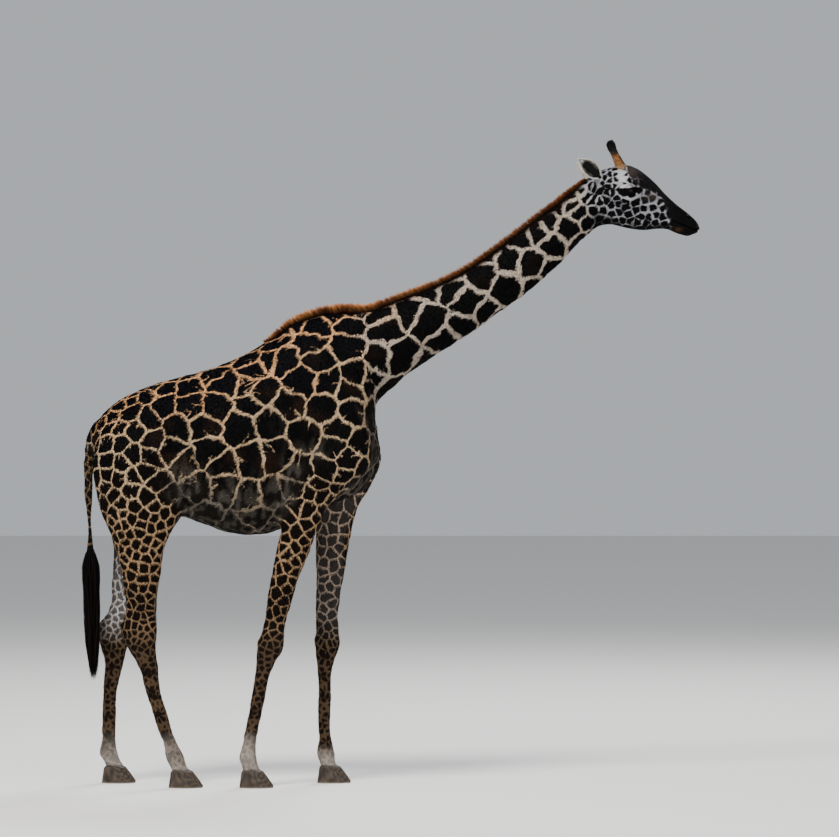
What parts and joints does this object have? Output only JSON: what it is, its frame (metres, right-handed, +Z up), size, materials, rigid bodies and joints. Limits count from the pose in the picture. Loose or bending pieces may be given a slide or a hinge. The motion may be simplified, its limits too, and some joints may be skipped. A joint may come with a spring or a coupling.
{
  "type": "adult female masai giraffe, standing",
  "caption": "Life-size giraffe cow standing in a short stride with her neck stretched forward and dark patches on a buff coat.",
  "frame": {"origin": "on the ground, under the middle of the animal's overall length and width", "axes": "+X the way she faces, +Z up, her left side is +Y"},
  "size_m": [3.6564, 0.7314, 3.7869],
  "materials": {
    "coat": "short flat hair, near-black patches parted by buff lines",
    "face": "short pale hair with small dark spots, charcoal on the nose bridge",
    "ear": "white-rimmed, dark inside",
    "mane": "short stiff upright chestnut hair",
    "black_hair": "long coarse black hair",
    "horn_skin": "short brown hair over bone",
    "eye": "wet dark ball",
    "hoof": "worn dark horn"
  },
  "bodies": {
    "root": {"trunk": "coat", "neck": "coat", "head": "face", "jaw": "face", "mane": "mane", "tail": "coat", "tail_brush": "black_hair", "foreleg_right": "coat", "foreleg_right_outer_claw": "hoof", "foreleg_right_inner_claw": "hoof", "foreleg_left": "coat", "foreleg_left_outer_claw": "hoof", "foreleg_left_inner_claw": "hoof", "hindleg_right": "coat", "hindleg_right_outer_claw": "hoof", "hindleg_right_inner_claw": "hoof", "hindleg_left": "coat", "hindleg_left_outer_claw": "hoof", "hindleg_left_inner_claw": "hoof", "ear_right": "ear", "horn_right": "horn_skin", "horn_tuft_right": "black_hair", "eye_right": "eye", "ear_left": "ear", "horn_left": "horn_skin", "horn_tuft_left": "black_hair", "eye_left": "eye"}
  },
  "joints": []
}
